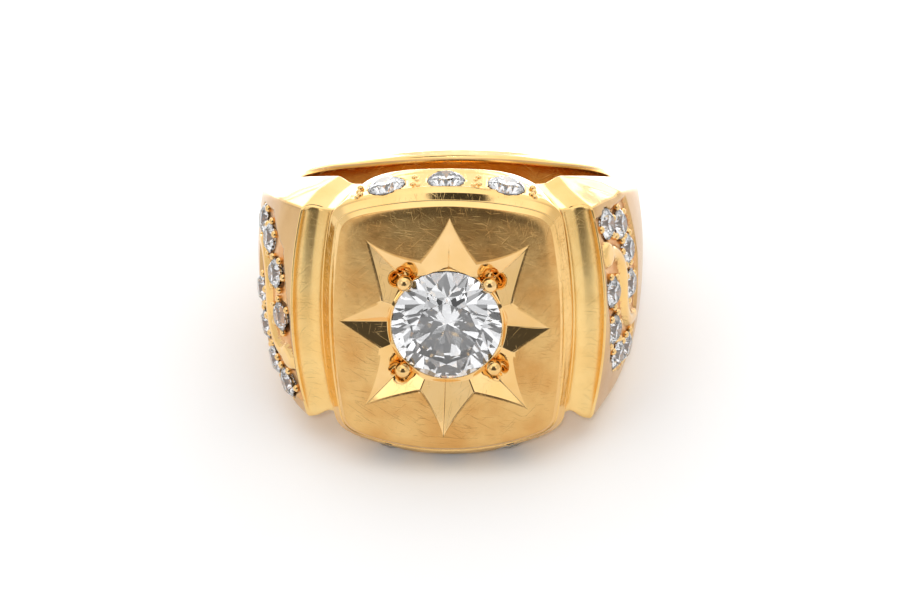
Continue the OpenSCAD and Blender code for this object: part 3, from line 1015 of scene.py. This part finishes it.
def make_band():
    stations = [k / 4 for k in range(4)]
    stations += [1 + k / FLUTE_COLUMNS for k in range(FLUTE_COLUMNS)]
    stations += [2 + k / FIELD_COLUMNS for k in range(FIELD_COLUMNS)]
    stations += [3 + k / SIDE_COLUMNS for k in range(SIDE_COLUMNS)]
    stations += [4 + k / BACK_COLUMNS for k in range(BACK_COLUMNS + 1)]
    right = [band_section(station, False) for station in stations]
    left = [band_section(station, True) for station in stations]
    turned = [[Vector((-p.x, p.y, -p.z)) for p in section] for section in left]
    size = len(right[0]) - 1
    # a turned section runs the other way round, from the point that lies where the right half's starts
    first = right[-1][0]
    start = min(range(size), key=lambda j: (turned[-1][j] - first).length)
    sections = right + [
        [section[(start - j) % size] for j in range(size + 1)] for section in reversed(turned[:-1])
    ]
    bm = grid_of(len(sections) - 1, size, lambda i, j: sections[i][j])
    bmesh.ops.remove_doubles(bm, verts=bm.verts, dist=WELD)
    ends = [edge for edge in bm.edges if edge.is_boundary]
    bmesh.ops.holes_fill(bm, edges=ends, sides=0)
    choose_band_golds(bm)
    return finish_piece(bm, "gold_band", BAND_GOLDS)


# Paving stones, beads and grains

# A small cut stone's rings of points: how many, how wide and how high in its radius, and their turn in steps
BRILLIANT_RINGS = (
    (8, 0.56, 0.33, 0.0), (8, 0.77, 0.2, 0.5), (16, 1.0, 0.03, 0.0), (16, 1.0, -0.03, 0.0),
    (8, 0.5, -0.46, 0.5), (8, 0.05, -0.86, 0.0),
)
PAVE_SUNK = 0.1
PAVE_SPIN = 0.7
# Grains round each paving stone, and their gaps from the field's edge, the ribbon, stones and grains
GRAINS_ROUND = 6
GRAIN_TURN = 25.0
GRAIN_AWAY = 1.0
GRAIN_R = 0.23
GRAIN_SUNK = 0.12
GRAIN_FRONT = -9.9
GAP_EDGE = 0.12
GAP_RIBBON = 0.1
GAP_STONE = 0.9
GAP_GRAIN = 0.42
# Grains between and beside the gallery stones: y, how far aside, and radius
GALLERY_GRAIN_X = (-4.95, -1.71, 1.71, 4.95)
GALLERY_GRAINS = ((-11.3, 0.14, 0.17), (-11.1, -0.16, 0.2), (-10.6, 0.05, 0.16), (-10.2, -0.1, 0.2))
GALLERY_GRAIN_HIGH = 8.08
# Beyond this x the grains lie closer together, by this share
END_GRAINS_X = 4.0
END_GRAINS_SHARE = 0.6
# Rings of faces on a ball
GRAIN_RINGS = 6
BEAD_RINGS = 12


def shoulder_place(spot, left):
    """Middle and outward direction of a place on a shoulder."""
    y, z = spot
    x = barrel_x(y, z)
    middle = lean(Vector((x, y, z)), left)
    out = Vector((x - BARREL_X, y - BAND_Y, z)).normalized()
    if left:
        turn = Vector((-1.0, 1.0, -1.0))
        middle, out = middle * turn, out * turn
    return middle, out


def brilliant(bm, middle, out, r, spin):
    """A small round cut stone: the hull of its table, crown, girdle, pavilion rings and point."""
    stone = bmesh.new()
    for count, share, height, step in BRILLIANT_RINGS:
        turn = Matrix.Rotation(2.0 * math.pi * step / count, 4, "Z")
        lift = Matrix.Translation((0.0, 0.0, height * r))
        bmesh.ops.create_circle(stone, segments=count, radius=share * r, matrix=lift @ turn)
    bmesh.ops.convex_hull(stone, input=stone.verts)
    bmesh.ops.dissolve_limit(stone, angle_limit=0.01, verts=stone.verts, edges=stone.edges)
    aim = Vector((0.0, 0.0, 1.0)).rotation_difference(out).to_matrix().to_4x4()
    place = Matrix.Translation(middle) @ aim @ Matrix.Rotation(spin, 4, "Z")
    bmesh.ops.transform(stone, matrix=place, verts=stone.verts)
    part = bpy.data.meshes.new("stone_part")
    stone.to_mesh(part)
    stone.free()
    bm.from_mesh(part)
    bpy.data.meshes.remove(part)


def make_paving():
    for side, left in (("right", False), ("left", True)):
        bm = bmesh.new()
        for k, spot in enumerate(PAVE_LEFT if left else PAVE_RIGHT):
            middle, out = shoulder_place(spot, left)
            brilliant(bm, middle - out * PAVE_SUNK, out, PAVE_R, PAVE_SPIN * k)
        finish_piece(bm, "paving_stones_" + side, (clear_stone,), smooth=False)


def add_ball(bm, middle, r, rings):
    bmesh.ops.create_uvsphere(
        bm, u_segments=2 * rings, v_segments=rings, radius=r, matrix=Matrix.Translation(middle)
    )


def make_star_beads():
    bm = bmesh.new()
    for turn in BEAD_TURNS:
        a = math.radians(turn)
        out = Vector((math.cos(a), 0.0, math.sin(a)))
        middle = out * (BEAD_RING_R - BEAD_INWARD) + Vector((0.0, BEAD_Y, 0.0))
        add_ball(bm, middle, BEAD_R, BEAD_RINGS)
    finish_piece(bm, "star_beads", (cut_gold,))


def grain_fits(y, z, stone, stones, grains):
    """Whether a grain beside a stone lies on the field and is clear of what is there already."""
    if y < GRAIN_FRONT or polygon_distance((y, z), FIELD) > -GAP_EDGE:
        return False
    if ribbon_distance(y, z) < RIBBON_HALF + GAP_RIBBON:
        return False
    if any(math.hypot(y - q[0], z - q[1]) < GAP_STONE for q in stones if q != stone):
        return False
    return all(math.hypot(y - q[0], z - q[1]) >= GAP_GRAIN for q in grains)


def make_grains():
    bm = bmesh.new()
    for left in (False, True):
        grains = []
        stones = PAVE_LEFT if left else PAVE_RIGHT
        for k, spot in enumerate(stones):
            for step in range(GRAINS_ROUND):
                a = math.radians(360.0 / GRAINS_ROUND * step + GRAIN_TURN * k)
                y, z = spot[0] + GRAIN_AWAY * math.cos(a), spot[1] + GRAIN_AWAY * math.sin(a)
                if grain_fits(y, z, spot, stones, grains):
                    grains.append((y, z))
                    middle, out = shoulder_place((y, z), left)
                    add_ball(bm, middle - out * GRAIN_SUNK, GRAIN_R, GRAIN_RINGS)
    for side in (1, -1):
        for k, x in enumerate(GALLERY_GRAIN_X):
            for y, aside, r in GALLERY_GRAINS:
                closer = 1.0 if abs(x) < END_GRAINS_X else END_GRAINS_SHARE
                where = x + (aside if k % 2 else -aside) * closer
                turn = math.asin(where / GALLERY_BOW_R)
                high = GALLERY_GRAIN_HIGH + WALL_LEAN * (y - GALLERY_Y)
                high = high - GALLERY_BOW_R + GALLERY_BOW_R * math.cos(turn)
                add_ball(bm, Vector((where, y, side * high)), r, GRAIN_RINGS)
    finish_piece(bm, "setting_grains", (cut_gold,))


head = make_head()
band = make_band()
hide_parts("ring_body")
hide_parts("ring_body")
make_paving()
make_star_beads()
make_grains()
for name, node in frame["nodes"].items():
    if name != "ring_body":
        for slot in node.material_slots:
            slot.material = clear_stone


# Floor, light and camera: the floor's and the lamps' places are in metres, and directions in degrees

FLOOR_HALF = 1.5
# The shoulders mirror these bright patches of floor behind the ring: place, and width of the beam
PATCHES = (
    ("lamp_near", 0.0, 0.058, 9.0),
    ("lamp_far_left", -0.045, 0.15, 8.0),
    ("lamp_far_right", 0.036, 0.15, 8.0),
)
LAMP_DISTANCE = 0.5
# The camera's distance and where it looks beside the ring's middle, in millimetres
CAMERA_DISTANCE = 300.0
AIM_RIGHT = -0.3
AIM_DOWN = 3.08
# The studio's bright and dark zones: middle's turn and rise, inner and outer radius, and light
BASE_LIGHT = 0.85
ZONES = (
    (0.0, 90.0, 20.0, 40.0, 1.4),
    (180.0, 40.0, 35.0, 60.0, 1.35),
    (165.0, 9.0, 8.0, 12.0, 3.2),
    (-162.0, 7.0, 8.0, 12.0, 3.2),
    (177.0, 50.0, 8.0, 11.0, 0.05),
    (0.0, 28.0, 24.0, 31.0, 0.08),
    (0.0, 8.0, 28.0, 35.0, 0.12),
    (-43.0, 37.0, 8.5, 12.0, 1.75),
    (39.0, 37.0, 9.5, 13.0, 1.25),
)


def make_floor():
    bm = bmesh.new()
    bmesh.ops.create_grid(bm, x_segments=1, y_segments=1, size=FLOOR_HALF)
    new_object(bm, "floor", (pale_floor,))


def towards(turn, rise):
    """Direction to a place round the ring, by degrees to the right of its front and above the floor."""
    a, e = math.radians(turn), math.radians(rise)
    return Vector((math.sin(a) * math.cos(e), -math.cos(a) * math.cos(e), math.sin(e)))


def floor_lamp(name, x, y, watts, width, blend, above):
    """A narrow lamp that lights only a round patch of floor."""
    data = bpy.data.lights.new(name, "SPOT")
    data.energy = watts
    data.shadow_soft_size = 0.01
    data.spot_size = math.radians(width)
    data.spot_blend = blend
    made = bpy.data.objects.new(name, data)
    bpy.context.scene.collection.objects.link(made)
    aim = above.to_track_quat("Z", "Y").to_matrix().to_4x4()
    made.matrix_world = Matrix.Translation(Vector((x, y, 0.0)) + above * LAMP_DISTANCE) @ aim
    return made


def make_studio():
    """A world whose light changes softly from zone to zone."""
    sky = bpy.data.worlds.new("studio")
    bpy.context.scene.world = sky
    sky.use_nodes = True
    nodes, link = sky.node_tree.nodes, sky.node_tree.links.new
    way = nodes.new("ShaderNodeTexCoord")
    light = nodes.new("ShaderNodeValue")
    light.outputs[0].default_value = BASE_LIGHT
    level = light.outputs[0]
    for turn, rise, inner, outer, value in ZONES:
        near = nodes.new("ShaderNodeVectorMath")
        near.operation = "DOT_PRODUCT"
        near.inputs[1].default_value = towards(turn, rise)
        link(way.outputs["Generated"], near.inputs[0])
        zone = nodes.new("ShaderNodeMapRange")
        zone.interpolation_type = "SMOOTHSTEP"
        shade(zone, "zone", {
            "From Min": math.cos(math.radians(outer)), "From Max": math.cos(math.radians(inner)),
            "To Min": 0.0, "To Max": 1.0,
        })
        link(near.outputs["Value"], zone.inputs["Value"])
        blend = nodes.new("ShaderNodeMix")
        blend.inputs[3].default_value = value
        link(zone.outputs["Result"], blend.inputs[0])
        link(level, blend.inputs[2])
        level = blend.outputs[0]
    link(level, nodes["Background"].inputs["Strength"])
    nodes["Background"].inputs["Color"].default_value = (1.0, 1.0, 1.0, 1.0)


def make_camera():
    """The photograph's camera, placed in the ring's own frame and then laid down with the ring."""
    pitch, yaw, roll = math.radians(20.46), math.radians(-2.41), math.radians(-0.86)
    forward = Vector((math.sin(yaw) * math.cos(pitch), math.cos(yaw) * math.cos(pitch), -math.sin(pitch)))
    level_right = Vector((math.cos(yaw), -math.sin(yaw), 0.0))
    level_up = Vector((math.sin(yaw) * math.sin(pitch), math.cos(yaw) * math.sin(pitch), math.cos(pitch)))
    right = level_right * math.cos(roll) + level_up * math.sin(roll)
    up = level_up * math.cos(roll) - level_right * math.sin(roll)
    stand = forward * -CAMERA_DISTANCE
    # the middle of the ring isn't in the middle of the picture, so the camera looks past it
    aim = (right * AIM_RIGHT - up * AIM_DOWN - stand).normalized()
    side = aim.cross(up).normalized()
    turned = Matrix((side, side.cross(aim), -aim)).transposed()
    data = bpy.data.cameras.new("camera")
    data.lens = 202.9
    data.sensor_width = 36.0
    data.clip_start = 0.01
    camera = bpy.data.objects.new("camera", data)
    bpy.context.scene.collection.objects.link(camera)
    camera.matrix_world = (
        Matrix.Translation(lying @ stand)
        @ Matrix.Rotation(-rest_tilt, 4, "X")
        @ turned.to_4x4()
    )
    bpy.context.scene.camera = camera


make_floor()
for name, x, y, width in PATCHES:
    floor_lamp(name, x, y, watts=36.0, width=width, blend=0.4, above=towards(180.0, 75.0))
# This one only lightens the ring's shadow in front
lamp_front = floor_lamp(
    "lamp_front", 0.0, -0.012, watts=9.5, width=7.0, blend=1.0, above=towards(0.0, 42.0)
)
lamp_front.data.shadow_soft_size = 0.05
lamp_front.visible_glossy = False
lamp_front.visible_transmission = False
make_studio()
bpy.context.scene.view_settings.view_transform = "Standard"
make_camera()
